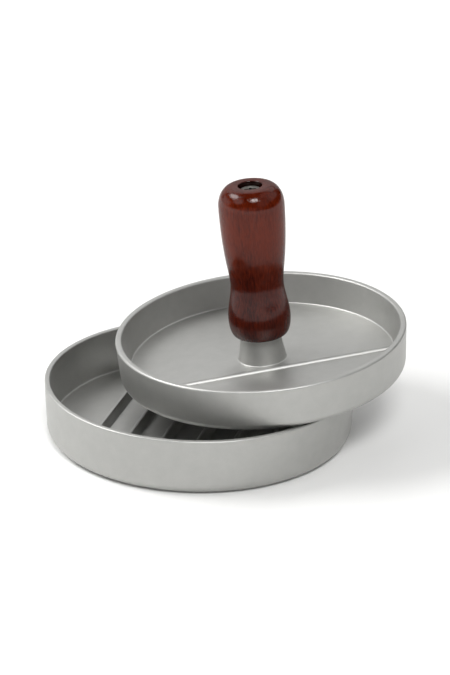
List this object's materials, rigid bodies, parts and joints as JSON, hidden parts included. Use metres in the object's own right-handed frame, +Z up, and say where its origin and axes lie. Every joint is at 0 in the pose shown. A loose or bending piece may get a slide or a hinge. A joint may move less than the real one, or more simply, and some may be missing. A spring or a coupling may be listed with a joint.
{
  "type": "burger press",
  "caption": "Round cast aluminium burger press: a ridged base dish and a lift-off press dish with a turned wooden handle, laid askew on the base's rim.",
  "frame": {"origin": "middle of the flat face that the base dish stands on", "axes": "+Z up; +X to the right in the picture, along the way the press is pushed aside; +Y away from the camera"},
  "size_m": [0.1447, 0.1276, 0.1023],
  "materials": {
    "cast_aluminium": "satin, finely bead-blasted casting with bright rounded edges",
    "lacquered_wood": "glossy red-brown lacquer over a fine straight grain",
    "zinc_steel": "bright zinc plate"
  },
  "bodies": {
    "base": {"base_dish": "cast_aluminium"},
    "press": {"press_plate": "cast_aluminium", "handle": "lacquered_wood", "handle_screw": "zinc_steel", "lock_washer": "zinc_steel", "washer": "zinc_steel"}
  },
  "joints": [
    {"name": "press_lift", "type": "slide", "parent": "base", "child": "press", "axis": [0, 0, 1], "range_m": [0, 0.07]}
  ]
}
